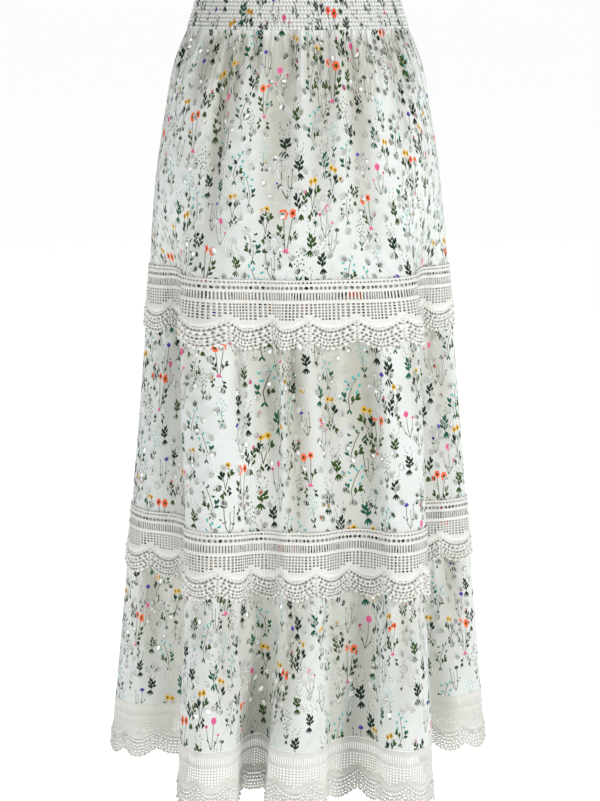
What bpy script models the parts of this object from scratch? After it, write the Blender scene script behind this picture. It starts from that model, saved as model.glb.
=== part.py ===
"""Tiered maxi skirt of printed eyelet cotton with three rows of scalloped guipure lace.

It hangs as worn, open at the waist and the hem. Metres, +Z up, the front towards -Y.
The origin is in the middle of the waistband, halfway up it.
"""

import math

import bpy
import numpy as np

for leftover in list(bpy.data.objects):
    bpy.data.objects.remove(leftover, do_unlink=True)

# Heights, down from the middle of the waistband
WAIST_TOP = 0.030
WAIST_SEAM = -0.030
UPPER_LACE_TOP = -0.319
UPPER_SEAM = -0.333
UPPER_LACE_FOOT = -0.403
LOWER_LACE_TOP = -0.619
LOWER_SEAM = -0.634
LOWER_LACE_FOOT = -0.703
HEM_SEAM = -0.880
HEM = -0.957

# Cloth and lace
COTTON = 0.0015
LACE = 0.0012
SEAM_GAP = 0.0003
SEAM_ALLOWANCE = 0.0025
LACE_CLEARANCE = 0.0005
SCALLOP_DROP = 0.011

# Columns of the cloth round the skirt, and the lace scallops that they carry
COLUMNS = 96
UPPER_SCALLOPS = 24
LOWER_SCALLOPS = 32
HEM_SCALLOPS = 48
HEM_COLUMNS = 2 * COLUMNS
SPACING_HEIGHT = -0.800
SPACING_SAMPLES = 4000

# Sections above the folds: name, height, half width, half depth in front, half depth behind
SECTIONS = (
    ("waistband top", WAIST_TOP, 0.119, 0.086, 0.084),
    ("waist seam", WAIST_SEAM, 0.134, 0.100, 0.096),
    ("high hip", -0.060, 0.147, 0.113, 0.108),
    ("hip", -0.130, 0.162, 0.131, 0.122),
    ("thigh", -0.220, 0.175, 0.144, 0.132),
)
FOLD_HEIGHTS = (-0.345, -0.650, HEM)

# The folds in order round the skirt, from the left side seam through the front.
# Columns: fold, then x and y in mm at the upper lace, at the lower lace and at the hem.
FOLDS = (
    ("left side", -185, 10, -211, 2, -243, 52),
    ("left panel", -168, -12, -188, -46, -212, 14),
    ("left panel inner edge", -148, -18, -149, -66, -149, 22),
    ("left return", -138, -58, -131, -104, -139, -84),
    ("left lobe edge", -137, -108, -134, -146, -145, -172),
    ("left lobe crest", -112, -136, -108, -171, -118, -208),
    ("left lobe inner side", -81, -147, -76, -170, -84, -198),
    ("first valley, left wall", -60, -148, -56, -160, -68, -134),
    ("first valley", -45, -149, -41, -156, -55, -112),
    ("first valley, right wall", -31, -152, -27, -160, -42, -132),
    ("middle lobe, left", -17, -155, -13, -171, -35, -190),
    ("middle lobe crest", 1, -155, 8, -175, -1, -209),
    ("middle lobe, right", 22, -152, 31, -166, 27, -194),
    ("second valley, left wall", 39, -149, 49, -151, 38, -158),
    ("second valley", 60, -146, 69, -145, 63, -135),
    ("second valley, right wall", 83, -143, 92, -154, 91, -152),
    ("right lobe inner side", 101, -138, 112, -170, 104, -190),
    ("right lobe crest", 121, -128, 133, -168, 133, -206),
    ("right lobe edge", 141, -104, 153, -140, 162, -172),
    ("right return", 141, -56, 150, -68, 158, -62),
    ("right panel inner edge", 151, -14, 158, 10, 163, 46),
    ("right panel", 170, -6, 190, 18, 210, 34),
    ("right side", 188, 16, 216, 44, 245, 74),
    ("right back shoulder", 177, 58, 200, 88, 224, 116),
    ("right back valley", 154, 86, 169, 98, 176, 104),
    ("back lobe a, right", 129, 108, 150, 132, 166, 150),
    ("back lobe a crest", 104, 124, 122, 158, 131, 194),
    ("back lobe a, left", 78, 132, 91, 152, 92, 176),
    ("back valley a", 56, 134, 64, 138, 73, 128),
    ("back lobe b, right", 34, 138, 40, 152, 47, 154),
    ("back lobe b crest", 11, 142, 13, 168, 13, 198),
    ("back lobe b, left", -17, 142, -20, 164, -23, 190),
    ("back valley b", -46, 137, -50, 141, -55, 132),
    ("back lobe c, right", -72, 131, -80, 152, -86, 166),
    ("back lobe c crest", -102, 118, -116, 163, -126, 199),
    ("back lobe c, left", -130, 98, -146, 132, -162, 158),
    ("left back valley", -155, 70, -168, 88, -174, 100),
    ("left back shoulder", -175, 42, -198, 54, -224, 92),
)

# Gathers: tier, gathers round it, height where they are fullest, height where they end, depth
GATHERS = (
    ("upper", 24, -0.050, -0.250, 0.0060),
    ("middle", 32, -0.430, -0.600, 0.0060),
    ("lower", 32, -0.735, -0.870, 0.0070),
)
GATHER_SEAMS = {"upper": WAIST_SEAM, "middle": UPPER_LACE_FOOT, "lower": LOWER_LACE_FOOT}
GATHER_MEAN = 0.70
GATHER_UNEVEN = 0.30
GATHER_BEAT = 2.4

# The longest creases. Columns: tier, bearing from the front at the waist in degrees,
# width in degrees, height of its top and of its end, depth
CREASES = (
    ("upper", -50, 9, -0.035, -0.130, 0.006),
    ("upper", -36, 12, -0.035, -0.315, 0.008),
    ("upper", -22, 7, -0.035, -0.110, 0.005),
    ("upper", -12, 10, -0.035, -0.310, 0.009),
    ("upper", 5, 11, -0.035, -0.270, 0.007),
    ("upper", 23, 10, -0.035, -0.290, 0.009),
    ("upper", 48, 10, -0.035, -0.180, 0.005),
    ("upper", 112, 11, -0.035, -0.260, 0.008),
    ("upper", 136, 9, -0.035, -0.300, 0.009),
    ("upper", 158, 12, -0.035, -0.220, 0.007),
    ("upper", 178, 9, -0.035, -0.310, 0.009),
    ("upper", 203, 11, -0.035, -0.250, 0.007),
    ("upper", 226, 10, -0.035, -0.300, 0.009),
    ("upper", 250, 10, -0.035, -0.200, 0.006),
    ("middle", -58, 8, -0.375, -0.590, 0.005),
    ("middle", -17, 8, -0.385, -0.600, 0.007),
    ("middle", -5, 8, -0.385, -0.710, 0.010),
    ("middle", 7, 7, -0.385, -0.600, 0.006),
    ("middle", 16, 8, -0.385, -0.690, 0.008),
    ("middle", 82, 8, -0.385, -0.640, 0.006),
    ("middle", 124, 9, -0.385, -0.620, 0.007),
    ("middle", 147, 8, -0.385, -0.680, 0.008),
    ("middle", 171, 9, -0.385, -0.600, 0.006),
    ("middle", 192, 8, -0.385, -0.690, 0.008),
    ("middle", 217, 9, -0.385, -0.620, 0.007),
    ("middle", 241, 8, -0.385, -0.660, 0.007),
    ("lower", -77, 8, -0.640, -0.880, 0.007),
    ("lower", -31, 6, -0.690, -0.860, 0.005),
    ("lower", -8, 6, -0.690, -0.880, 0.007),
    ("lower", 29, 6, -0.690, -0.850, 0.005),
    ("lower", 82, 7, -0.640, -0.870, 0.006),
    ("lower", 128, 7, -0.690, -0.870, 0.006),
    ("lower", 173, 7, -0.690, -0.880, 0.006),
    ("lower", 229, 7, -0.690, -0.860, 0.006),
)

# Rows of each tier, and how far apart its eyelets stand
UPPER_ROWS = (WAIST_SEAM - SEAM_GAP, -0.052, -0.100, -0.195, UPPER_LACE_TOP, UPPER_SEAM)
MIDDLE_ROWS = (UPPER_SEAM - SEAM_GAP, UPPER_LACE_FOOT, -0.455, -0.530, LOWER_LACE_TOP, LOWER_SEAM)
LOWER_ROWS = (LOWER_SEAM - SEAM_GAP, LOWER_LACE_FOOT, -0.775, HEM_SEAM)
EYELET_WIDTH = 0.0062
EYELET_HEIGHT = 0.0090
EYELET_SIDES = 4
EYELET_STEP = 3
EYELET_SLANT = 0.35
EYELET_WANDER = 0.22
EYELET_ROOM = 0.75

# Smocked waistband
SMOCK_ROWS = 13
SMOCK_COLUMNS = 36
SMOCK_INSIDE_ROWS = 5
SMOCK_WALL = 0.0016
SMOCK_RIDGE = 0.0011
SMOCK_PUCKER = 0.25
BAND_FLARE = 1.5


def fold_bearings():
    """Each fold's bearing from the front at the waist, in degrees.

    The cloth hangs straight, so a fold takes as much of the waist as it does of the hem.
    """
    hem = np.array([fold[5:7] for fold in FOLDS])
    lengths = np.linalg.norm(np.roll(hem, -1, axis=0) - hem, axis=1)
    side = [fold[0] for fold in FOLDS].index("right side")
    front = np.cumsum(lengths[:side]) / lengths[:side].sum()
    back = np.cumsum(lengths[side:]) / lengths[side:].sum()
    return np.concatenate([[-90], -90 + 180 * front, 90 + 180 * back[:-1]])


def section_point(section, bearing):
    """A point of an oval section, at a bearing from the front in degrees."""
    _, _, half_width, front, behind = section
    angle = math.radians(bearing)
    half_depth = front if math.cos(angle) > 0 else behind
    return half_width * math.sin(angle), -half_depth * math.cos(angle)


def fold_paths():
    """Every fold's place at each level, as an array of levels by folds by x and y."""
    levels = [[section_point(section, bearing) for bearing in fold_bearings()] for section in SECTIONS]
    for level in range(len(FOLD_HEIGHTS)):
        first = 1 + 2 * level
        levels.append([(fold[first] / 1000, fold[first + 1] / 1000) for fold in FOLDS])
    return np.array(levels)


HEIGHTS = np.array([section[1] for section in SECTIONS] + list(FOLD_HEIGHTS))
PATHS = fold_paths()


def slopes(at, values):
    """Tangents of a smooth path through values at uneven stations."""
    steps = np.diff(at)
    rates = np.diff(values, axis=0) / steps[:, None, None]
    inner = (rates[:-1] * steps[1:, None, None] + rates[1:] * steps[:-1, None, None]) / (
        steps[:-1] + steps[1:]
    )[:, None, None]
    return np.concatenate([rates[:1], inner, rates[-1:]])


PATH_SLOPES = slopes(HEIGHTS, PATHS)


def hermite(start, end, start_slope, end_slope, along):
    """A cubic from start to end, with its slopes given per unit of along."""
    square = along * along
    cube = square * along
    return (
        (2 * cube - 3 * square + 1) * start
        + (cube - 2 * square + along) * start_slope
        + (3 * square - 2 * cube) * end
        + (cube - square) * end_slope
    )


def folds_at(height):
    """The folds' places at one height."""
    below = int(np.clip(np.searchsorted(-HEIGHTS, -height) - 1, 0, len(HEIGHTS) - 2))
    step = HEIGHTS[below + 1] - HEIGHTS[below]
    along = (height - HEIGHTS[below]) / step
    return hermite(
        PATHS[below],
        PATHS[below + 1],
        PATH_SLOPES[below] * step,
        PATH_SLOPES[below + 1] * step,
        along,
    )


def ring(height, turns):
    """Points of the closed curve through the folds, and its outward normals.

    turns counts folds from the left side seam, so that each fold keeps its number.
    """
    points = folds_at(height)
    count = len(points)
    chords = np.sqrt(np.linalg.norm(np.roll(points, -1, axis=0) - points, axis=1))
    rates = (np.roll(points, -1, axis=0) - points) / chords[:, None]
    before = np.roll(chords, 1)
    tangents = (np.roll(rates, 1, axis=0) * chords[:, None] + rates * before[:, None]) / (
        chords + before
    )[:, None]
    index = np.floor(turns).astype(int) % count
    after = (index + 1) % count
    along = (turns - np.floor(turns))[:, None]
    span = chords[index][:, None]
    ends = points[index], points[after], tangents[index] * span, tangents[after] * span
    near = 0.001
    place = hermite(*ends, along)
    ahead = hermite(*ends, along + near) - hermite(*ends, along - near)
    ahead /= np.linalg.norm(ahead, axis=1)[:, None]
    return place, np.stack([ahead[:, 1], -ahead[:, 0]], axis=1)


def half_columns(half, count):
    """Where the columns of the front or the back lie, even along the cloth of the lower tier.

    Each side seam has one more column close by, so that both halves face the same way there.
    Returns each column's turns, and how far round the skirt it is, from 0 to 1.
    """
    side = [fold[0] for fold in FOLDS].index("right side")
    first, last = ((0, side), (side, len(FOLDS)))[half]
    turns = np.linspace(first, last, SPACING_SAMPLES)
    place, _ = ring(SPACING_HEIGHT, turns)
    length = np.concatenate([[0], np.cumsum(np.linalg.norm(np.diff(place, axis=0), axis=1))])
    whole = length[-1]
    even = np.linspace(0, whole, count // 2 + 1)
    wanted = np.sort(np.append(even, (SEAM_ALLOWANCE, whole - SEAM_ALLOWANCE)))
    return np.interp(wanted, length, turns), (wanted / whole + half) / 2


def gather_depth(around, height):
    """How far the gathers pull the cloth in, at fractions round the skirt."""
    depth = np.zeros_like(around)
    for tier, count, fullest, end, most in GATHERS:
        seam = GATHER_SEAMS[tier]
        if not end < height < seam:
            continue
        rise = min(1.0, (seam - height) / (seam - fullest))
        fade = min(1.0, (height - end) / (fullest - end))
        number = np.floor(around * count)
        uneven = GATHER_MEAN + GATHER_UNEVEN * np.sin(GATHER_BEAT * number)
        wave = 0.5 - 0.5 * np.cos(2 * math.pi * around * count)
        depth += most * rise * fade**1.5 * uneven * wave
    return depth + crease_depth(around, height)


def crease_depth(around, height):
    """How far the long creases pull the cloth in."""
    depth = np.zeros_like(around)
    for _, bearing, width, top, end, most in CREASES:
        if not end < height < top:
            continue
        along = (top - height) / (top - end)
        fade = math.sin(math.pi * math.sqrt(along))
        off = (around * 360 - 90 - bearing) / width
        depth += most * fade * np.exp(-4 * off * off)
    return depth


def cloth_row(half, columns, height, outward=0.0):
    """One row of points of a front or back half, with a seam's gap at each side."""
    turns, around = half_columns(half, columns)
    place, normals = ring(height, turns)
    place = place + normals * (outward - gather_depth(around, height))[:, None]
    ahead = place[1] - place[0]
    place[0] += ahead / np.linalg.norm(ahead) * SEAM_GAP / 2
    back = place[-2] - place[-1]
    place[-1] += back / np.linalg.norm(back) * SEAM_GAP / 2
    return np.column_stack([place, np.full(len(place), height)])


def make_material(name, colour, roughness):
    """A plain woven or corded finish."""
    material = bpy.data.materials.new(name)
    material.use_nodes = True
    shader = material.node_tree.nodes["Principled BSDF"]
    shader.inputs["Base Color"].default_value = (*colour, 1.0)
    shader.inputs["Roughness"].default_value = roughness
    shader.inputs["Metallic"].default_value = 0.0
    material.diffuse_color = (*colour, 1.0)
    return material


skirt = bpy.data.collections.new("tiered_maxi_skirt")
bpy.context.scene.collection.children.link(skirt)


def add_object(name, points, faces, material):
    """A mesh object in the skirt's collection."""
    mesh = bpy.data.meshes.new(name)
    mesh.from_pydata([tuple(point) for point in points], [], faces)
    mesh.validate()
    mesh.materials.append(material)
    piece = bpy.data.objects.new(name, mesh)
    skirt.objects.link(piece)
    return piece


def add_wall(piece, thickness):
    """Gives a sheet its thickness, half to each side."""
    wall = piece.modifiers.new("wall", "SOLIDIFY")
    wall.thickness = thickness
    wall.offset = 0.0
    wall.use_rim = True


def eyelet(corners, number):
    """The points of one leaf-shaped eyelet in a panel of cloth, given its four corners.

    It slants left or right by turns, stands a little above or below the middle, and is
    smaller where the cloth's columns are narrow.
    """
    across = (corners[1] + corners[2] - corners[0] - corners[3]) / 2
    down = (corners[3] + corners[2] - corners[0] - corners[1]) / 2
    middle = corners.mean(axis=0) + down * EYELET_WANDER * math.sin(GATHER_BEAT * number)
    size = min(1.0, EYELET_ROOM * np.linalg.norm(across) / EYELET_WIDTH)
    across /= np.linalg.norm(across)
    down /= np.linalg.norm(down)
    leaf = []
    for side in range(EYELET_SIDES):
        angle = 2 * math.pi * side / EYELET_SIDES
        height = size * EYELET_HEIGHT / 2 * math.sin(angle)
        width = size * EYELET_WIDTH / 2 * math.cos(angle) + EYELET_SLANT * (-1) ** number * height
        leaf.append(middle + across * width + down * height)
    return leaf


def sheet_faces(rows, holed):
    """Points and faces of a grid of rows. holed says which of its cells have an eyelet."""
    wide = len(rows[0])
    points = [point for row in rows for point in row]
    faces = []
    for down in range(len(rows) - 1):
        for across in range(wide - 1):
            first = down * wide + across
            cell = (first, first + 1, first + wide + 1, first + wide)
            if not holed(across, down):
                faces.append(cell[::-1])
                continue
            corners = np.array([points[index] for index in cell])
            hole = len(points)
            points.extend(eyelet(corners, across + down))
            right, low, left, top = range(hole, hole + EYELET_SIDES)
            around_cell = (cell[0], cell[3], cell[2], cell[1])
            around_hole = (left, low, right, top)
            for side in range(EYELET_SIDES):
                after = (side + 1) % EYELET_SIDES
                faces.append((around_cell[side], around_cell[after], around_hole[side]))
                faces.append((around_cell[after], around_hole[after], around_hole[side]))
    return points, faces


def add_tier(name, heights, first_holed, last_holed, material):
    """The front and back of one tier, with eyelets in the rows that no lace covers."""
    for half, side in enumerate(("front", "back")):
        rows = [cloth_row(half, COLUMNS, height) for height in heights]

        def holed(across, down):
            if not 1 < across < COLUMNS // 2 or not first_holed <= down <= last_holed:
                return False
            return (across + 2 * down) % EYELET_STEP == 0

        points, faces = sheet_faces(rows, holed)
        add_wall(add_object(f"{name}_{side}", points, faces, material), COTTON)


def scallop_edge(row_above, row_foot, scallops, columns, half):
    """The lower edge of a lace band: between two rows, lowest in the middle of a scallop."""
    _, around = half_columns(half, columns)
    depth = row_above[0][2] - row_foot[0][2]
    lift = SCALLOP_DROP * (1 - np.abs(np.sin(math.pi * around * scallops))) / depth
    return row_foot + (row_above - row_foot) * lift[:, None]


def add_lace(name, heights, scallops, columns, outward, material):
    """The front and back of one lace band, scalloped along its foot."""
    for half, side in enumerate(("front", "back")):
        rows = [cloth_row(half, columns, height, outward) for height in heights]
        rows[-1] = scallop_edge(rows[-2], rows[-1], scallops, columns, half)
        points, faces = sheet_faces(rows, lambda across, down: False)
        add_wall(add_object(f"{name}_{side}", points, faces, material), LACE)


def band_row(first, last, count, height, outward, raised):
    """A row of the waistband's oval, its puckers a little uneven where they are raised."""
    top, foot = SECTIONS[0], SECTIONS[1]
    share = (WAIST_TOP - height) / (WAIST_TOP - WAIST_SEAM)
    flare = share**BAND_FLARE
    half_width = top[2] + (foot[2] - top[2]) * flare
    half_front = top[3] + (foot[3] - top[3]) * flare
    half_back = top[4] + (foot[4] - top[4]) * flare
    row = []
    for column, bearing in enumerate(np.linspace(first, last, count)):
        angle = math.radians(bearing)
        pucker = SMOCK_PUCKER * raised * (-1) ** column
        half_depth = half_front if math.cos(angle) > 0 else half_back
        out = outward + pucker
        place = (half_width + out) * math.sin(angle), -(half_depth + out) * math.cos(angle)
        row.append([*place, height])
    front = 1 if math.cos(math.radians((first + last) / 2)) > 0 else -1
    for end in (row[0], row[-1]):
        end[1] = -front * SEAM_GAP / 2
    return row


def add_waistband(material):
    """Two shirred halves: ridges of elastic outside, plain inside."""
    across_count = SMOCK_COLUMNS // 2 + 1
    foot = WAIST_SEAM
    bearings = ((-90, 90), (90, 270))
    for half, side in enumerate(("front", "back")):
        first, last = bearings[half]
        outer = []
        for level in range(2 * SMOCK_ROWS + 1):
            share = level / (2 * SMOCK_ROWS)
            height = WAIST_TOP + share * (foot - WAIST_TOP)
            raised = SMOCK_RIDGE if level % 2 else 0.0
            outer.append(band_row(first, last, across_count, height, SMOCK_WALL / 2 + raised, raised))
        inner = [
            band_row(first, last, across_count, height, -SMOCK_WALL / 2, 0.0)
            for height in np.linspace(foot, WAIST_TOP, SMOCK_INSIDE_ROWS)
        ]
        rows = outer + inner
        points = [point for row in rows for point in row]
        faces = []
        for down in range(len(rows)):
            below = (down + 1) % len(rows)
            for across in range(across_count - 1):
                a = down * across_count + across
                b = below * across_count + across
                faces.append((a, b, b + 1, a + 1))
        ends = [down * across_count for down in range(len(rows))]
        faces.append(tuple(reversed(ends)))
        faces.append(tuple(index + across_count - 1 for index in ends))
        add_object(f"waistband_{side}", points, faces, material)


cotton = make_material("printed_eyelet_cotton", (0.80, 0.83, 0.81), 0.78)
smocking = make_material("shirred_cotton", (0.66, 0.68, 0.64), 0.85)
guipure = make_material("cream_guipure_lace", (0.82, 0.79, 0.70), 0.70)

add_waistband(smocking)
add_tier("upper_tier", UPPER_ROWS, 1, 3, cotton)
add_tier("middle_tier", MIDDLE_ROWS, 1, 3, cotton)
add_tier("lower_tier", LOWER_ROWS, 1, 2, cotton)

LACE_OUT = COTTON / 2 + LACE_CLEARANCE + LACE / 2
upper_lace_rows = (UPPER_LACE_TOP, UPPER_SEAM, UPPER_LACE_FOOT)
lower_lace_rows = (LOWER_LACE_TOP, LOWER_SEAM, LOWER_LACE_FOOT)
add_lace("upper_lace", upper_lace_rows, UPPER_SCALLOPS, COLUMNS, LACE_OUT, guipure)
add_lace("lower_lace", lower_lace_rows, LOWER_SCALLOPS, COLUMNS, LACE_OUT, guipure)
add_lace("hem_lace", (HEM_SEAM - SEAM_GAP, HEM), HEM_SCALLOPS, HEM_COLUMNS, 0.0, guipure)
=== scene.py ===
"""The tiered maxi skirt, in its own materials, hanging in plain studio light.

Metres, +Z up, the front towards -Y. The origin is in the middle of the waistband.
"""

import math

import bpy
import numpy as np
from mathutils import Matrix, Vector
from mathutils.geometry import delaunay_2d_cdt


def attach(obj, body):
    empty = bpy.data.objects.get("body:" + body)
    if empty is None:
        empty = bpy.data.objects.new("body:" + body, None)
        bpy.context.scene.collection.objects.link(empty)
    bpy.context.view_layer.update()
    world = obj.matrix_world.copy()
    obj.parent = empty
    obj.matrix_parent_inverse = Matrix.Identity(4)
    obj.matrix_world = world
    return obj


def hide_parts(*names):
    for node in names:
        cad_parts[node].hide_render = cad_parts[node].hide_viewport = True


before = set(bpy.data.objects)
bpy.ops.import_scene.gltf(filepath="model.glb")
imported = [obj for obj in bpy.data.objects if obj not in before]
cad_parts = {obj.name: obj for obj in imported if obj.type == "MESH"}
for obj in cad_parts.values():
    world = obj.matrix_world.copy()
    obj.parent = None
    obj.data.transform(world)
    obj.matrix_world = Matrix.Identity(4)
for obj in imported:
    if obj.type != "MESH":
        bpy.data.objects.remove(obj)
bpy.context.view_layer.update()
scene = bpy.context.scene

# Camera: the photograph is taken from a little above the waist, looking 10 degrees down,
# so close that its top edge crosses the waistband and its bottom edge the hem's lobes.
CAMERA_PLACE = (0.0, -3.0, 0.040)
CAMERA_PITCH = 10
CAMERA_FOCUS = 2445
PICTURE = (600, 801)
SENSOR = 36.0
AXIS_PIXEL = 298


def placed(name, data):
    """A new object in the scene."""
    thing = bpy.data.objects.new(name, data)
    scene.collection.objects.link(thing)
    return thing


camera = placed("camera", bpy.data.cameras.new("camera"))
camera.location = CAMERA_PLACE
camera.rotation_euler = (math.radians(90 - CAMERA_PITCH), 0, 0)
camera.data.sensor_width = SENSOR
camera.data.lens = CAMERA_FOCUS * SENSOR / PICTURE[1]
camera.data.shift_x = (PICTURE[0] / 2 - AXIS_PIXEL) / PICTURE[1]
scene.camera = camera

# Light: a white studio. The world fills every side evenly, a large soft lamp stands to the
# front and right as in the photograph, weaker ones lift the left and the back. Three
# soft glows inside stand for the light that comes through thin cotton.
WORLD_STRENGTH = 0.13
LAMPS_AIM = (0, 0, -0.45)
# Columns: name, place, size, watts
LAMPS = (
    ("key", (2.5, -1.9, 1.2), 1.0, 77),
    ("fill", (-2.5, -2.2, 0.5), 1.6, 37),
    ("back", (0.0, 2.2, 1.4), 2.2, 10),
    ("inside upper", (0.0, 0.0, -0.26), 0.10, 0.48),
    ("inside middle", (0.0, 0.0, -0.52), 0.14, 0.62),
    ("inside lower", (0.0, 0.0, -0.78), 0.18, 0.60),
)

world = bpy.data.worlds.new("studio")
scene.world = world
world.use_nodes = True
background = world.node_tree.nodes["Background"]
background.inputs["Color"].default_value = (1, 1, 1, 1)
background.inputs["Strength"].default_value = WORLD_STRENGTH
for name, place, size, watts in LAMPS:
    glows = name.startswith("inside")
    light = bpy.data.lights.new(name, "POINT" if glows else "AREA")
    light.energy = watts
    if glows:
        light.shadow_soft_size = size
    else:
        light.shape = "DISK"
        light.size = size
    lamp = placed(name, light)
    lamp.location = place
    lamp.visible_camera = not glows
    aim = Vector(LAMPS_AIM) - Vector(place)
    lamp.rotation_euler = aim.to_track_quat("-Z", "Y").to_euler()
scene.view_settings.view_transform = "Standard"

# Floor: one pale sheet, a little below the hem. It reaches well past the picture's edges
# and far behind the skirt, so that it is all of the background.
FLOOR_HEIGHT = -1.02
FLOOR_REACH = 200.0
FLOOR_COLOUR = (0.90, 0.90, 0.90, 1)
FLOOR_GLOW = 0.86


class Nodes:
    """Short calls for a material's nodes."""

    def __init__(self, name):
        self.material = bpy.data.materials.new(name)
        self.material.use_nodes = True
        self.tree = self.material.node_tree
        self.shader = self.tree.nodes["Principled BSDF"]

    def put(self, socket, value):
        """Joins a socket to another one, or sets it to a value."""
        if isinstance(value, bpy.types.NodeSocket):
            self.tree.links.new(value, socket)
        else:
            socket.default_value = value

    def look(self, word, value):
        """Joins or sets one of the shader's own sockets."""
        self.put(self.shader.inputs[word], value)

    def add(self, kind, values, **settings):
        """The outputs of a new node, with its settings and sockets filled in."""
        node = self.tree.nodes.new(kind)
        for word, setting in settings.items():
            setattr(node, word, setting)
        for socket, value in values.items():
            self.put(node.inputs[socket], value)
        return node.outputs

    def math(self, operation, *values, clamp=False):
        inputs = dict(enumerate(values))
        return self.add("ShaderNodeMath", inputs, operation=operation, use_clamp=clamp)[0]

    def mix(self, share, first, second):
        inputs = {"Factor": share, "A": first, "B": second}
        return self.add("ShaderNodeMix", inputs, data_type="RGBA")["Result"]

    def attribute(self, word):
        return self.add("ShaderNodeAttribute", {}, attribute_name=word)

    def noise(self, place, scale, detail=2.0):
        inputs = {"Vector": place, "Scale": scale, "Detail": detail}
        return self.add("ShaderNodeTexNoise", inputs)["Fac"]

    def bump(self, height, distance, strength=1.0, **after):
        inputs = {"Height": height, "Distance": distance, "Strength": strength, **after}
        return self.add("ShaderNodeBump", inputs)["Normal"]

    def xyz(self, vector):
        return self.add("ShaderNodeSeparateXYZ", {0: vector})

    def wave(self, value, pitch):
        """A sine along value, with one beat a pitch."""
        return self.math("SINE", self.math("MULTIPLY", value, 2 * math.pi / pitch))


bpy.ops.mesh.primitive_plane_add(size=2 * FLOOR_REACH, location=(0, 0, FLOOR_HEIGHT))
floor = bpy.context.object
floor.name = "floor"
floor_paint = Nodes("pale_floor")
floor_paint.look("Base Color", FLOOR_COLOUR)
floor_paint.look("Roughness", 0.9)
floor_paint.look("Emission Color", (1, 1, 1, 1))
floor_paint.look("Emission Strength", FLOOR_GLOW)
floor.data.materials.append(floor_paint.material)

# Tiers: three panels of thin white cotton, each gathered onto the one above, eyelet
# embroidered all over and printed with small flower sprigs. The cloth is cut in two halves
# a tier, seamed at the sides, and hangs free from the waistband in deep folds.
WAIST_TOP = 0.030
WAIST_SEAM = -0.030
UPPER_SEAM = -0.333
UPPER_LACE_FOOT = -0.403
LOWER_SEAM = -0.634
LOWER_LACE_FOOT = -0.703
HEM_SEAM = -0.880
HEM = -0.957
SEAM_GAP = 0.0003
SPACING_HEIGHT = -0.800
SPACING_SAMPLES = 4000

# Sections above the folds, from the waistband's top to the thigh: height, half width, half
# depth in front, half depth behind
SECTIONS = (
    (WAIST_TOP, 0.119, 0.086, 0.084),
    (WAIST_SEAM, 0.134, 0.100, 0.096),
    (-0.060, 0.147, 0.113, 0.108),
    (-0.130, 0.162, 0.131, 0.122),
    (-0.220, 0.175, 0.144, 0.132),
)
FOLD_HEIGHTS = (-0.345, -0.650, HEM)

# The folds in order round the skirt, from the left side seam through the front.
# Columns: x and y in mm at the upper lace, at the lower lace and at the hem.
FOLDS = (
    # left side and panel
    (-185, 10, -211, 2, -243, 52), (-168, -12, -188, -46, -212, 14),
    (-148, -18, -149, -66, -149, 22),
    # left lobe
    (-138, -58, -131, -104, -139, -84), (-137, -108, -134, -146, -145, -172),
    (-112, -136, -108, -171, -118, -208), (-81, -147, -76, -170, -84, -198),
    # first valley
    (-60, -148, -56, -160, -68, -134), (-45, -149, -41, -156, -55, -112),
    (-31, -152, -27, -160, -42, -132),
    # middle lobe
    (-17, -155, -13, -171, -35, -190), (1, -155, 8, -175, -1, -209),
    (22, -152, 31, -166, 27, -194),
    # second valley
    (39, -149, 49, -151, 38, -158), (60, -146, 69, -145, 63, -135),
    (83, -143, 92, -154, 91, -152),
    # right lobe
    (101, -138, 112, -170, 104, -190), (121, -128, 133, -168, 133, -206),
    (141, -104, 153, -140, 162, -172), (141, -56, 150, -68, 158, -62),
    # right panel and side
    (151, -14, 158, 10, 163, 46), (170, -6, 190, 18, 210, 34),
    (188, 16, 216, 44, 245, 74),
    # behind, from right to left: a shoulder and a valley
    (177, 58, 200, 88, 224, 116), (154, 86, 169, 98, 176, 104),
    # three lobes with valleys between them
    (129, 108, 150, 132, 166, 150), (104, 124, 122, 158, 131, 194),
    (78, 132, 91, 152, 92, 176), (56, 134, 64, 138, 73, 128),
    (34, 138, 40, 152, 47, 154), (11, 142, 13, 168, 13, 198),
    (-17, 142, -20, 164, -23, 190), (-46, 137, -50, 141, -55, 132),
    (-72, 131, -80, 152, -86, 166), (-102, 118, -116, 163, -126, 199),
    (-130, 98, -146, 132, -162, 158),
    # the left valley and shoulder
    (-155, 70, -168, 88, -174, 100), (-175, 42, -198, 54, -224, 92),
)

# Which fold is the right side seam
RIGHT_SIDE = 22

# Gathers of each tier: how many round it, heights of their top, where they are fullest and
# where they end, and their depth
GATHERS = (
    (24, WAIST_SEAM, -0.050, -0.250, 0.0060),
    (32, UPPER_LACE_FOOT, -0.430, -0.600, 0.0060),
    (32, LOWER_LACE_FOOT, -0.735, -0.870, 0.0070),
)
GATHER_MEAN = 0.70
GATHER_UNEVEN = 0.30
GATHER_BEAT = 2.4

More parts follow.
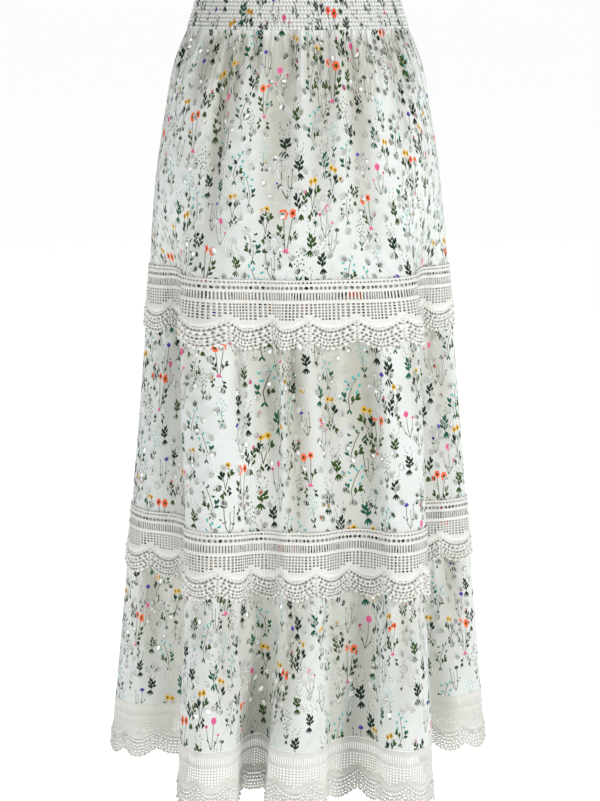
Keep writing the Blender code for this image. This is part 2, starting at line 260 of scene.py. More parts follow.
# The longest creases. Columns: bearing from the front at the waist and width in degrees,
# how far down its top and end are and its depth in mm
CREASES = (
    # upper tier
    (-50, 9, 35, 130, 6), (-36, 12, 35, 315, 8), (-22, 7, 35, 110, 5),
    (-12, 10, 35, 310, 9), (5, 11, 35, 270, 7), (23, 10, 35, 290, 9),
    (48, 10, 35, 180, 5), (112, 11, 35, 260, 8), (136, 9, 35, 300, 9),
    (158, 12, 35, 220, 7), (178, 9, 35, 310, 9), (203, 11, 35, 250, 7),
    (226, 10, 35, 300, 9), (250, 10, 35, 200, 6),
    # middle tier
    (-58, 8, 375, 590, 5), (-17, 8, 385, 600, 7), (-5, 8, 385, 710, 10),
    (7, 7, 385, 600, 6), (16, 8, 385, 690, 8), (82, 8, 385, 640, 6),
    (124, 9, 385, 620, 7), (147, 8, 385, 680, 8), (171, 9, 385, 600, 6),
    (192, 8, 385, 690, 8), (217, 9, 385, 620, 7), (241, 8, 385, 660, 7),
    # lower tier
    (-77, 8, 640, 880, 7), (-31, 6, 690, 860, 5), (-8, 6, 690, 880, 7),
    (29, 6, 690, 850, 5), (82, 7, 640, 870, 6), (128, 7, 690, 870, 6),
    (173, 7, 690, 880, 6), (229, 7, 690, 860, 6),
)

# Short puckers below each seam. Columns: bearing and width in degrees, length and depth in mm
PUCKERS = (
    (-84, 5.1, 69, 4.0), (-73, 4.2, 105, 5.4), (-66, 4.8, 57, 3.6),
    (-55, 3.8, 93, 5.8), (-44, 5.6, 75, 4.7), (-29, 4.5, 126, 6.1),
    (-24, 3.4, 51, 4.0), (-8, 4.5, 90, 5.4), (0, 3.8, 66, 4.3),
    (11, 4.8, 114, 5.8), (17, 3.4, 60, 4.3), (31, 4.5, 99, 5.4),
    (39, 4.2, 63, 4.3), (56, 5.1, 108, 5.4), (66, 4.2, 72, 4.0),
    (76, 4.8, 87, 5.0), (97, 4.5, 96, 5.4), (106, 3.8, 60, 4.0),
    (119, 5.1, 117, 5.8), (130, 4.2, 69, 4.7), (143, 4.8, 90, 5.0),
    (152, 3.8, 57, 4.0), (165, 4.8, 111, 5.8), (185, 4.2, 78, 4.7),
    (196, 4.8, 99, 5.4), (211, 3.8, 63, 4.3), (220, 4.5, 105, 5.4),
    (235, 4.2, 72, 4.3), (245, 5.1, 90, 5.0), (258, 4.2, 66, 4.0),
)
PUCKER_TOPS = (WAIST_SEAM, UPPER_LACE_FOOT + 0.012, LOWER_LACE_FOOT + 0.012)
PUCKER_SHIFT = 2.5
CREASE_MORE = 1.2


def fold_bearings():
    """Each fold's bearing from the front at the waist: the cloth hangs straight."""
    hem = np.array([fold[4:] for fold in FOLDS])
    lengths = np.linalg.norm(np.roll(hem, -1, axis=0) - hem, axis=1)
    front = np.cumsum(lengths[:RIGHT_SIDE]) / lengths[:RIGHT_SIDE].sum()
    back = np.cumsum(lengths[RIGHT_SIDE:]) / lengths[RIGHT_SIDE:].sum()
    return np.concatenate([[-90], -90 + 180 * front, 90 + 180 * back[:-1]])


def fold_paths():
    """Every fold's place at each level: levels by folds by x and y."""
    levels = []
    for _, half_width, front, behind in SECTIONS:
        turned = np.radians(fold_bearings())
        half_depth = np.where(np.cos(turned) > 0, front, behind)
        levels.append(np.column_stack([half_width * np.sin(turned), -half_depth * np.cos(turned)]))
    for level in range(len(FOLD_HEIGHTS)):
        levels.append(np.array([fold[2 * level : 2 * level + 2] for fold in FOLDS]) / 1000)
    return np.array(levels)


def slopes(at, values):
    """Tangents of a smooth path through values at uneven stations."""
    steps = np.diff(at)[:, None, None]
    rates = np.diff(values, axis=0) / steps
    inner = (rates[:-1] * steps[1:] + rates[1:] * steps[:-1]) / (steps[:-1] + steps[1:])
    return np.concatenate([rates[:1], inner, rates[-1:]])


HEIGHTS = np.array([section[0] for section in SECTIONS] + list(FOLD_HEIGHTS))
PATHS = fold_paths()
PATH_SLOPES = slopes(HEIGHTS, PATHS)


def hermite(start, end, start_slope, end_slope, along):
    """A cubic from start to end, with its slopes given per unit of along."""
    square = along * along
    cube = square * along
    return (
        (2 * cube - 3 * square + 1) * start
        + (cube - 2 * square + along) * start_slope
        + (3 * square - 2 * cube) * end
        + (cube - square) * end_slope
    )


def fold_at(index, height):
    """The places of numbered folds, each at its own height."""
    below = np.clip(np.searchsorted(-HEIGHTS, -height) - 1, 0, len(HEIGHTS) - 2)
    step = (HEIGHTS[below + 1] - HEIGHTS[below])[:, None]
    along = (height - HEIGHTS[below])[:, None] / step
    start, end = [PATHS[below + side, index] for side in (0, 1)]
    start_slope, end_slope = [PATH_SLOPES[below + side, index] * step for side in (0, 1)]
    return hermite(start, end, start_slope, end_slope, along)


def ring(height, turns):
    """Points of the curves through the folds, and their outward normals.

    Each point has its own height and turns, which count folds from the left side seam.
    """
    index = np.floor(turns).astype(int)
    along = (turns - index)[:, None]
    near = [fold_at((index + step) % len(FOLDS), height) for step in (-1, 0, 1, 2)]
    spans = [near[k + 1] - near[k] for k in range(3)]
    chords = [np.sqrt(np.linalg.norm(span, axis=1))[:, None] for span in spans]
    rates = [span / chord for span, chord in zip(spans, chords)]
    first, middle, last = chords
    start = (rates[0] * middle + rates[1] * first) / (first + middle) * middle
    end = (rates[1] * last + rates[2] * middle) / (middle + last) * middle
    place = hermite(near[1], near[2], start, end, along)
    nudge = 0.001
    ahead = hermite(near[1], near[2], start, end, along + nudge)
    ahead -= hermite(near[1], near[2], start, end, along - nudge)
    ahead /= np.linalg.norm(ahead, axis=1)[:, None]
    return place, np.column_stack([ahead[:, 1], -ahead[:, 0]])


def turns_table():
    """Fractions round the skirt, 0 at the left seam and 0.5 at the right, and turns."""
    around = []
    turned = []
    for half, (first, last) in enumerate(((0, RIGHT_SIDE), (RIGHT_SIDE, len(FOLDS)))):
        turns = np.linspace(first, last, SPACING_SAMPLES)
        place, _ = ring(np.full(len(turns), SPACING_HEIGHT), turns)
        steps = np.linalg.norm(np.diff(place, axis=0), axis=1)
        length = np.concatenate([[0], np.cumsum(steps)])
        around.append((half + length / length[-1]) / 2)
        turned.append(turns)
    return np.concatenate(around), np.concatenate(turned)


AROUND, TURNS = turns_table()


def cloth_depth(around, height):
    """How far the cloth is pulled in, by everything and by creases and puckers alone."""
    depth = np.zeros_like(around)
    for count, seam, fullest, end, most in GATHERS:
        rise = np.clip((seam - height) / (seam - fullest), 0, 1)
        fade = np.clip((height - end) / (fullest - end), 0, 1)
        uneven = GATHER_MEAN + GATHER_UNEVEN * np.sin(GATHER_BEAT * np.floor(around * count))
        wave = 0.5 - 0.5 * np.cos(2 * math.pi * around * count)
        depth += most * rise * fade**1.5 * uneven * wave
    creased = np.zeros_like(around)
    bearing_here = around * 360 - 90

    def press(bearing, width, top, length, most):
        along = np.sqrt(np.clip((top - height) / length, 0, 1))
        off = (bearing_here - bearing) / width
        return most * np.sin(math.pi * along) * np.exp(-4 * off * off)

    for bearing, width, top, end, most in CREASES:
        creased += press(bearing, width, -top / 1000, (end - top) / 1000, CREASE_MORE * most / 1000)
    for shift, top in enumerate(PUCKER_TOPS):
        for bearing, width, length, most in PUCKERS:
            creased += press(bearing + PUCKER_SHIFT * shift, width, top, length / 1000, most / 1000)
    return depth + creased, creased


def drape(around, height, outward=0.0):
    """Points of the hanging cloth, at fractions round the skirt and heights."""
    place, normals = ring(height, np.interp(around, AROUND, TURNS))
    place = place + normals * (outward - cloth_depth(around, height)[0])[:, None]
    return np.column_stack([place, height])


# Columns: panel, height of its top and foot, cloth cut for its front and back, height where
# its eyelets begin, repeats of the embroidery, how far above the foot the eyelets end
TIERS = (
    ("upper_tier", WAIST_SEAM - SEAM_GAP, UPPER_SEAM, (0.60, 0.52), -0.040, (10, 8), 0.0075),
    ("middle_tier", UPPER_SEAM - SEAM_GAP, LOWER_SEAM, (0.76, 0.64), -0.388, (12, 10), 0.0075),
    ("lower_tier", LOWER_SEAM - SEAM_GAP, HEM_SEAM, (1.03, 0.76), -0.690, (17, 12), 0.0400),
)
CLOTH_GRID = 0.0092
GATHERED_TOP = 0.055
EDGE_MARGIN = 0.0075
EYELET_REACH = 0.0050
CLOTH_NEAR = 1e-7

# One repeat of the embroidery. Columns: x and y in mm from its middle, the eyelet's half
# length and half width in mm, and its slant from upright in degrees
REPEAT_HEIGHT = 0.092
EYELETS = (
    (-12.0, -36.2, 3.3, 2.4, 0), (-4.9, -32.1, 3.3, 2.4, 60), (-4.9, -23.9, 3.3, 2.4, 120),
    (-12.0, -19.8, 3.3, 2.4, 180), (-19.1, -23.9, 3.3, 2.4, 240), (-19.1, -32.1, 3.3, 2.4, 300),
    (13.0, -38.0, 3.9, 2.7, 28), (23.0, -22.0, 4.1, 2.8, -36), (10.0, -13.0, 3.8, 2.6, 40),
    (-22.0, -7.0, 4.0, 2.8, -28), (-6.0, -3.0, 3.4, 3.0, 10), (17.5, 2.5, 4.1, 2.8, 30),
    (-15.0, 10.0, 3.9, 2.7, -38), (3.0, 14.5, 3.0, 2.1, -20), (23.0, 20.0, 3.8, 2.7, -42),
    (-22.0, 27.0, 3.9, 2.8, -30), (-4.0, 30.0, 4.0, 2.8, 38), (11.5, 34.5, 3.7, 2.6, -34),
)
RIM_SIDES = 8
RIM_WIDTH = 0.0011
RIM_RAISE = 0.00045

# The print, in linear colours: each sprig is drawn by one of the functions below
SPRIG_PITCH = 0.033
SPRIG_ROW = 0.030
SPRIG_NARROW = 0.84
SPRIG_TALL = 1.08
POPPY = ((0.80, 0.085, 0.030), (0.86, 0.19, 0.075))
OCHRE = ((0.62, 0.30, 0.020), (0.72, 0.44, 0.045))
INDIGO = ((0.055, 0.030, 0.26), (0.11, 0.065, 0.40))
PINK = ((0.62, 0.050, 0.20), (0.74, 0.16, 0.34))
AQUA = ((0.025, 0.29, 0.30), (0.08, 0.46, 0.46))
OLIVE = ((0.016, 0.040, 0.007), (0.048, 0.10, 0.018))
INK = ((0.004, 0.014, 0.009), (0.010, 0.032, 0.018))
TEAL = ((0.003, 0.058, 0.032), (0.010, 0.115, 0.065))
STALK = ((0.040, 0.056, 0.022), (0.085, 0.11, 0.050))
LEAF_SHAPE = 0.50
LEAF_SWELL = 1.25
LEAF_LEAN = 37
STALK_SWELL = 1.2
DOT_SWELL = 1.5


def round_outline(x, y, wide, tall, sides, start=0.0):
    """Points of an oval round x, y."""
    turns = [2 * math.pi * side / sides + start for side in range(sides)]
    return [(x + wide * math.cos(t), y + tall * math.sin(t)) for t in turns]


def petal(x, y, turn, length, width, colours):
    """A petal or leaf from its foot at x, y, pointing turn degrees clockwise from up."""
    outline = ((0, 0), (0.36, 0.46), (0.78, 0.42), (1, 0), (0.7, -0.46), (0.3, -0.4))
    angle = math.radians(turn)
    up = np.array([math.sin(angle), -math.cos(angle)])
    side = np.array([math.cos(angle), math.sin(angle)])
    points = [np.array([x, y]) + up * along * length + side * out * width for along, out in outline]
    return points, np.array([x, y]), length, colours


def fan(x, y, turns, *shape):
    """Petals or leaves from one point."""
    return [petal(x, y, turn, *shape) for turn in turns]


def dot(x, y, radius, colours, sides=5):
    """A round mark."""
    radius = radius * DOT_SWELL
    return round_outline(x, y, radius, radius, sides, x), np.array([x, y]), radius, colours


def stalk(points, width, colours=STALK):
    """A thin stem along points, from its foot to its head."""
    line = np.array(points, float)
    ahead = np.gradient(line, axis=0)
    ahead /= np.linalg.norm(ahead, axis=1)[:, None]
    side = np.column_stack([ahead[:, 1], -ahead[:, 0]]) * width * STALK_SWELL / 2
    outline = list(line + side) + list((line - side)[::-1])
    return outline, line[0], float(np.linalg.norm(line[-1] - line[0])), colours


def flower(x, y, size, colours, petals=5, heart=INK, open_side=0):
    """A flower head seen from the side or the front."""
    turns = [open_side + 360 * k / petals for k in range(petals)]
    return fan(x, y, turns, size, size * 0.92, colours) + [dot(x, y, size * 0.26, heart)]


def leafy(x, y, turn, length, count, size, colours=OLIVE):
    """A stem with leaves on both sides and one at its tip."""
    angle = math.radians(turn)
    up = np.array([math.sin(angle), -math.cos(angle)])
    size = size * LEAF_SWELL
    tip = np.array([x, y]) + up * length
    marks = [stalk([(x, y), tip], 0.6)]
    for k in range(count):
        foot = np.array([x, y]) + up * length * (k + 0.6) / count
        lean = LEAF_LEAN if k % 2 else -LEAF_LEAN
        marks.append(petal(*foot, turn + lean, size, size * LEAF_SHAPE, colours))
    marks.append(petal(*tip, turn, size, size * LEAF_SHAPE, colours))
    return marks


def poppies(colours):
    """Two heads on long stalks over leaves and a small root."""
    marks = [stalk([(-1, 14), (-2.5, 0), (-4, -14)], 0.7), stalk([(1, 14), (2, 0), (4.5, -15)], 0.7)]
    marks += flower(-4.5, -17, 4.6, colours, 6, OLIVE, 20)
    marks += flower(4.6, -18.5, 3.9, colours, 5, INK, 50)
    marks += leafy(-2, 8, -24, 13, 4, 4.6) + leafy(3, 6, 30, 7, 2, 4.4)
    marks += fan(0, 12.5, (-80, -25, 30, 95), 3.6, 1.8, PINK)
    marks += leafy(-6, 12, 186, 9, 3, 3.4) + leafy(3, 16, 150, 6, 2, 3.6, INK)
    return marks


def pair(colours):
    """Two small heads, each on its own leafy fork."""
    marks = [stalk([(0, 12), (-2, 2), (-3.2, -8)], 0.6), stalk([(0, 12), (2.6, 0), (4, -9)], 0.6)]
    marks += flower(-3, -10, 3.0, colours, 5, TEAL) + flower(2.4, -11.6, 3.2, colours, 5, OLIVE, 30)
    marks += leafy(-3, 4, -12, 4, 2, 5.2, INK) + leafy(3.6, 2, 18, 5, 2, 4.8)
    marks += leafy(-1.5, 12, 188, 5, 2, 4.2) + leafy(3, 8, 172, 6, 3, 3.4, INK)
    return marks


def thistle(colours):
    """A tufted head and two buds on stalks bent like the letter U."""
    marks = [
        stalk([(0, 13), (-3.6, 7), (-5, -2), (-5.4, -10)], 0.7),
        stalk([(0, 13), (3.4, 8), (4.6, 0), (4.8, -9)], 0.6),
        stalk([(0.2, 12), (1, 4), (0.6, -4)], 0.5),
    ]
    marks += fan(-5.4, -10, (-58, -28, 0, 26, 56), 4.4, 2.2, colours)
    marks.append(petal(4.8, -9, 6, 3.4, 1.5, INK))
    marks += [petal(-7.6, 1.5, -50, 2.8, 1.8, colours), petal(0.6, -4, 10, 2.4, 1.2, STALK)]
    marks += fan(-4.4, 4, (30, -64), 3.2, 1.2, STALK)
    marks += fan(3.8, 5, (52, -40), 3.0, 1.2, OLIVE)
    return marks


def bellflowers(colours):
    """Round heads at the ends of bare forked stalks."""
    marks = [
        stalk([(1, 14), (-2, 4), (-3, -8)], 0.55),
        stalk([(1, 14), (4, 5), (5.4, -4)], 0.55),
        stalk([(1, 14), (-5, 9), (-8, 3)], 0.5),
    ]
    marks += flower(-3.4, -10.5, 3.6, colours, 6, PINK, 12) + flower(5.6, -6, 1.9, colours, 4, INK)
    marks += fan(-8, 3, (-40, 10), 2.8, 1.6, colours)
    marks += [petal(2.5, 8, 36, 4.2, 1.6, OLIVE), petal(-3.5, 10, -50, 3.8, 1.5, STALK)]
    return marks


def spray(colours):
    """A leaning stem hung with small bright buds over dark leaves."""
    marks = [stalk([(1, 14), (-1, 5), (1.4, -4), (5, -13)], 0.6)]
    buds = ((-4, -9, -30), (2, -12, 10), (6, -15, 40), (-1.5, -3, -60), (7, -7, 70), (5, -1, 60))
    for x, y, turn in buds:
        marks += [petal(x, y, turn, 3.0, 2.0, colours), petal(x, y, turn + 75, 2.4, 1.5, colours)]
    marks += leafy(-2, 8, -32, 6, 2, 4.4, TEAL) + leafy(2, 9, 34, 6, 2, 4.6)
    marks += fan(0.4, 13, (150, 205), 5.0, 1.9, TEAL)
    return marks


def thicket(colours):
    """Dark leaves over hanging ones, with fine upright seeds above them."""
    marks = leafy(0, 6, -10, 9, 4, 4.6, colours) + leafy(1, 7, 20, 7, 3, 5.0, colours)
    marks += fan(0, 7, (140, 168, 200, 226), 7.4, 2.2, colours)
    for k in range(11):
        x = 5.6 * math.sin(2.4 * k)
        marks.append(petal(x, -5 - 1.15 * k, 20 * math.sin(k), 1.9, 0.9, colours))
    return marks


def seeds(colours):
    """A loose cloud of specks over two crossed leaves."""
    marks = [stalk([(0, 13), (0.6, 4), (0, -5)], 0.45)]
    for k in range(16):
        turn = 2.4 * k
        reach = 1.6 * math.sqrt(k + 1)
        marks.append(dot(reach * math.cos(turn), -7 + 1.5 * reach * math.sin(turn), 0.6, colours, 4))
    marks += fan(0, 10, (-38, 30), 6.0, 2.0, TEAL)
    marks += fan(0, 11, (160, 200), 4.4, 1.6, INK)
    return marks


def leafy_tuft(colours):
    """Upright serrated leaves over hanging ones, with one small bud."""
    marks = leafy(-2, 4, -12, 12, 5, 4.6, colours) + leafy(2.4, 4, 14, 10, 4, 4.8, INK)
    marks += fan(0, 6, (155, 182, 210), 6.0, 2.4, colours)
    marks.append(petal(-3.6, -10, -20, 3.4, 2.6, PINK))
    return marks


SPRIGS = (
    poppies(POPPY), thicket(INK), bellflowers(PINK), spray(AQUA),
    pair(OCHRE), seeds(INK), thistle(INDIGO), thicket(OLIVE),
    thicket(TEAL), spray(TEAL), seeds(AQUA), leafy_tuft(OLIVE),
    thicket(INK), pair(OCHRE), thistle(STALK), spray(AQUA),
)
ROW_STRIDE, COLUMN_STRIDE = 5, 7
SPRIG_SIZE = 0.0012
SPRIG_LEAN = 6


def sprig_marks(wide, tall):
    """The print's marks over a panel, in metres: points, origin, reach, colours."""
    made = []
    columns = round(wide / SPRIG_PITCH)
    rows = round(tall / SPRIG_ROW)
    for row in range(rows + 1):
        for column in range(columns + 1):
            number = row * ROW_STRIDE + column * COLUMN_STRIDE
            wobble = math.sin(12.9 * row + 7.7 * column)
            x = (column + 0.5 * (row % 2) + 0.16 * wobble) * wide / columns
            y = (row + 0.30 * math.cos(5.3 * row + 9.1 * column)) * tall / rows
            lean = math.radians(SPRIG_LEAN * math.sin(3.1 * row + 5.9 * column))
            size = SPRIG_SIZE + 0.00016 * wobble
            flip = -1 if (row + column // 2) % 2 else 1
            turn = np.array([[math.cos(lean), -math.sin(lean)], [math.sin(lean), math.cos(lean)]])
            turn = np.diag([size * SPRIG_NARROW, size * SPRIG_TALL]) @ turn @ np.diag([flip, 1])
            for points, origin, reach, colours in SPRIGS[number % len(SPRIGS)]:
                moved = [turn @ point + (x, y) for point in points]
                made.append((moved, turn @ origin + (x, y), reach * size, colours))
    return made


def eyelet_places(wide, tall, shown, repeats, foot_margin):
    """Every eyelet of a half panel: middle, half length, half width and slant."""
    found = []
    pitch = wide / repeats
    for column in range(-1, repeats + 1):
        for row in range(-1, int(tall / REPEAT_HEIGHT) + 2):
            left = (column + 0.5) * pitch
            top = (row + 0.5 * (column % 2)) * REPEAT_HEIGHT
            for x, y, long, short, slant in EYELETS:
                middle = (left + x / 1000, top + y / 1000)
                inside = EDGE_MARGIN < middle[0] < wide - EDGE_MARGIN
                if inside and shown < middle[1] < tall - foot_margin:
                    found.append((middle, long / 1000, short / 1000, math.radians(slant)))
    return found


def oval(middle, long, short, slant):
    """The points of an oval round middle, upright when slant is 0."""
    angle = 2 * math.pi * np.arange(RIM_SIDES) / RIM_SIDES
    along, out = long * np.cos(angle), short * np.sin(angle)
    x = middle[0] + along * math.sin(slant) + out * math.cos(slant)
    y = middle[1] - along * math.cos(slant) + out * math.sin(slant)
    return list(zip(x, y))


def turned_left(points):
    """The points of an outline, in the order that keeps its inside on the left."""
    x, y = np.array(points, float).T
    area = (x * np.roll(y, -1) - np.roll(x, -1) * y).sum()
    return [tuple(point) for point in points[:: 1 if area > 0 else -1]]


class FlatNet:
    """Outlines laid flat, and how far each is raised; the first is the cloth's edge."""

    def __init__(self, edge, inner=()):
        self.points = turned_left(edge) + [tuple(point) for point in inner]
        self.raised = [0.0] * len(self.points)
        self.faces = [list(range(len(edge)))]
        self.holes = set()

    def add(self, outline, lift=0.0, hole=False):
        if hole:
            self.holes.add(len(self.faces))
        self.faces.append(list(range(len(self.points), len(self.points) + len(outline))))
        self.points += turned_left(outline)
        self.raised += [lift] * len(outline)

    def add_point(self, point, lift):
        self.points.append(point)
        self.raised.append(lift)

    def triangulated(self, near):
        """Points, how far each is raised, triangles, and the outlines round each triangle."""
        points = [Vector(point) for point in self.points]
        made = delaunay_2d_cdt(points, [], self.faces, 1, near, True)
        flat = np.array([tuple(point) for point in made[0]])
        raised = np.array([max([self.raised[k] for k in came], default=0.0) for came in made[3]])
        kept = [k for k, came in enumerate(made[5]) if 0 in came and not self.holes.intersection(came)]
        return flat, raised, np.array([made[2][k] for k in kept]), [made[5][k] for k in kept]


def panel_net(wide, tall, eyelets, marks):
    """A half panel laid flat: points, how far each is raised, triangles and their marks."""
    across, down = math.ceil(wide / CLOTH_GRID), math.ceil(tall / CLOTH_GRID)
    xs, ys = np.linspace(0, wide, across + 1), np.linspace(0, tall, down + 1)
    edge = [(x, 0) for x in xs] + [(wide, y) for y in ys[1:]]
    edge += [(x, tall) for x in xs[-2::-1]] + [(0, y) for y in ys[-2:0:-1]]
    shifts = (-CLOTH_GRID / 4, CLOTH_GRID / 4)
    rows = enumerate(ys[1:-1])
    inner = np.array([(x + shifts[row % 2], y) for row, y in rows for x in xs[1:-1]])
    between = inner[inner[:, 1] < GATHERED_TOP] + CLOTH_GRID / 2
    inner = np.concatenate([inner, between[between[:, 0] < wide - CLOTH_GRID / 2]])
    away = np.linalg.norm(inner[:, None] - [eyelet[0] for eyelet in eyelets], axis=2)
    net = FlatNet(edge, inner[(away >= EYELET_REACH).all(axis=1)])
    rims = set()
    for middle, long, short, slant in eyelets:
        for more, raise_by in ((0.0, 0.0), (RIM_WIDTH / 2, RIM_RAISE), (RIM_WIDTH, 0.0)):
            if more:
                rims.add(len(net.faces))
            net.add(oval(middle, long + more, short + more, slant), raise_by, not more)
    first_mark = len(net.faces)
    for outline, *_ in marks:
        net.add(outline)
    flat, raised, triangles, came_from = net.triangulated(CLOTH_NEAR)
    mark = [-1 if rims.intersection(came) else max(max(came) - first_mark, -1) for came in came_from]
    return flat, raised, triangles, np.array(mark)


def cloth_mesh(name, points, triangles, material, flat, **attributes):
    """A smooth mesh that keeps where its points lay flat, and other named values."""
    used, triangles = np.unique(triangles, return_inverse=True)
    triangles = triangles.reshape(-1, 3)
    mesh = bpy.data.meshes.new(name)
    mesh.from_pydata(points[used].tolist(), [], triangles.tolist())
    mesh.materials.append(material)
    mesh.shade_smooth()
    laid = np.column_stack([flat, np.zeros(len(flat))])
    for word, values in {"flat": laid, **attributes}.items():
        kind, key = ("FLOAT", "value") if values.ndim == 1 else ("FLOAT_VECTOR", "vector")
        made = mesh.attributes.new(word, kind, "POINT")
        made.data.foreach_set(key, values[used].astype(np.float32).ravel())
    return placed(name, mesh)


def paint_marks(piece, flat, triangles, mark, marks):
    """Colours each triangle of a mark, from its origin outwards."""
    colours = np.zeros((len(triangles), 3, 4), np.float32)
    painted = np.flatnonzero(mark >= 0)
    _, origins, reaches, paints = zip(*[marks[k] for k in mark[painted]])
    inner, outer = np.array(paints)[:, :, None].swapaxes(0, 1)
    corners = flat[triangles[painted]]
    away = np.linalg.norm(corners - np.array(origins)[:, None], axis=2)
    away = np.clip(away / np.array(reaches)[:, None], 0, 1)[:, :, None]
    colours[painted, :, :3] = inner * (1 - away) + outer * away
    colours[painted, :, 3] = 1.0
    made = piece.data.color_attributes.new("print", "FLOAT_COLOR", "CORNER")
    made.data.foreach_set("color", colours.ravel())


COTTON_LIGHT = (0.72, 0.75, 0.73, 1)
COTTON_DARK = (0.65, 0.68, 0.65, 1)
COTTON_VALLEY_SHADE = (0.45, 0.447, 0.385, 1)
# Painted shade on the cloth that a lace band covers, and how far it reaches above and below the seam
UNDER_LACE_SHADE = (0.47, 0.485, 0.465, 1)
LACE_SHADE_ABOVE = 0.010
LACE_SHADE_BELOW = 0.045
# Painted shade in the creases and the hollows of the folds: the crease depth that gives full shade, and
# how it spreads into shallow creases
VALLEY_SHADE_DEPTH = 0.010
VALLEY_SHADE_SPREAD = 0.7
STITCH_COLOUR = (0.86, 0.87, 0.855, 1)
CORD_SWING = 0.011
CORD_GAP = 0.0034
CORD_WIDTH = 0.0010
CORD_BROKEN = 0.42
WEAVE_PITCH = 0.00042

# The small gathers below a seam: how many in a metre each way, how far down they reach,
# which level counts as a hollow, how deep they look and how dark their painted shade is
SMALL_GATHERS = (105, 9.0, 1.0)
SMALL_GATHER_REACH = 0.095
SMALL_GATHER_LEVEL = 0.52
SMALL_GATHER_DEPTH = 0.011
SMALL_GATHER_SHADE = 3.2


def cotton_material(name, pitch):
    """White cotton with its weave, its corded embroidery and its print, and painted shade in its creases,
    in the hollows of its folds and small gathers, and under the lace.
    """
    cotton = Nodes(name)
    flat = cotton.attribute("flat")["Vector"]
    place = cotton.xyz(flat)
    swing = cotton.math("MULTIPLY", cotton.wave(place["Y"], REPEAT_HEIGHT), CORD_SWING)
    inside = cotton.math("SUBTRACT", cotton.math("WRAP", place["X"], pitch, 0.0), pitch / 2)
    off = cotton.math("ABSOLUTE", cotton.math("SUBTRACT", inside, swing))
    twin = cotton.math("ABSOLUTE", cotton.math("SUBTRACT", off, CORD_GAP / 2))
    cord = cotton.math("SUBTRACT", 1.0, cotton.math("DIVIDE", twin, CORD_WIDTH), clamp=True)
    shown = cotton.math("GREATER_THAN", cotton.noise(flat, 26.0), CORD_BROKEN)
    cord = cotton.math("MULTIPLY", cord, shown)
    raised = cotton.math("MAXIMUM", cord, cotton.attribute("stitch")["Fac"])
    tint = cotton.mix(cotton.noise(flat, 14.0, 4.0), COTTON_DARK, COTTON_LIGHT)
    down = cotton.math("DIVIDE", place["Y"], SMALL_GATHER_REACH)
    near = cotton.math("SUBTRACT", 1.0, down, clamp=True)
    drawn = cotton.add("ShaderNodeVectorMath", {0: flat, 1: SMALL_GATHERS}, operation="MULTIPLY")
    gathers = cotton.noise(drawn["Vector"], 1.0, 1.0)
    # Painted shade in the hollows of the small gathers near the seam
    gather_shade = cotton.math("SUBTRACT", SMALL_GATHER_LEVEL, gathers, clamp=True)
    gather_shade = cotton.math("MULTIPLY", gather_shade, SMALL_GATHER_SHADE)
    # Painted shade in the creases and the hollows of the folds, together with that of the small gathers
    creased = cotton.attribute("creased")["Fac"]
    valley = cotton.math("MULTIPLY_ADD", gather_shade, near, creased, clamp=True)
    tint = cotton.mix(valley, tint, COTTON_VALLEY_SHADE)
    # Painted shade on the cloth under the lace bands
    tint = cotton.mix(cotton.attribute("under")["Fac"], tint, UNDER_LACE_SHADE)
    printed = cotton.attribute("print")
    paint = cotton.mix(printed["Alpha"], tint, printed["Color"])
    paint = cotton.mix(cotton.math("MULTIPLY", raised, 0.85), paint, STITCH_COLOUR)
    cotton.look("Base Color", paint)
    cotton.look("Roughness", 0.82)
    cotton.look("Specular IOR Level", 0.25)
    threads, rows = [cotton.wave(place[axis], WEAVE_PITCH) for axis in ("X", "Y")]
    weave = cotton.bump(cotton.math("MULTIPLY", threads, rows), 0.00004, 0.6)
    shaped = cotton.math("MULTIPLY", gathers, near)
    gathered = cotton.bump(shaped, SMALL_GATHER_DEPTH, Normal=weave)
    crumple = cotton.bump(cotton.noise(flat, 90.0, 3.0), 0.0006, 0.5, Normal=gathered)
    cotton.look("Normal", cotton.bump(raised, 0.0007, 0.9, Normal=crumple))
    return cotton.material


# The hollows of the hanging folds, where less light reaches the cloth
HOLLOW_ROWS = 40
HOLLOW_COLUMNS = 720
HOLLOW_WINDOW = 121
HOLLOW_DEPTH = 0.015
HOLLOW_SHADE_SHARE = 0.65


def hollow_table():
    """How far the cloth lies inside its own smoothed outline, by height and place."""
    places = (np.arange(HOLLOW_COLUMNS) + 0.5) / HOLLOW_COLUMNS
    window = np.hanning(HOLLOW_WINDOW)
    window /= window.sum()
    side = HOLLOW_WINDOW // 2
    rows = []
    for height in np.linspace(HEM, WAIST_SEAM, HOLLOW_ROWS):
        points = drape(places, np.full(HOLLOW_COLUMNS, height))
        reach = np.hypot(points[:, 0], points[:, 1])
        smooth = np.convolve(np.concatenate([reach[-side:], reach, reach[:side]]), window, "valid")
        rows.append(np.clip((smooth - reach) / HOLLOW_DEPTH, 0, 1))
    return np.array(rows)


HOLLOWS = hollow_table()


def hollow_at(around, height):
    """The table's value at fractions round the skirt and heights."""
    row = np.clip((height - HEM) / (WAIST_SEAM - HEM), 0, 1) * (HOLLOW_ROWS - 1.001)
    low = row.astype(int)
    column = (around * HOLLOW_COLUMNS).astype(int) % HOLLOW_COLUMNS
    return HOLLOWS[low, column] * (1 - row + low) + HOLLOWS[low + 1, column] * (row - low)


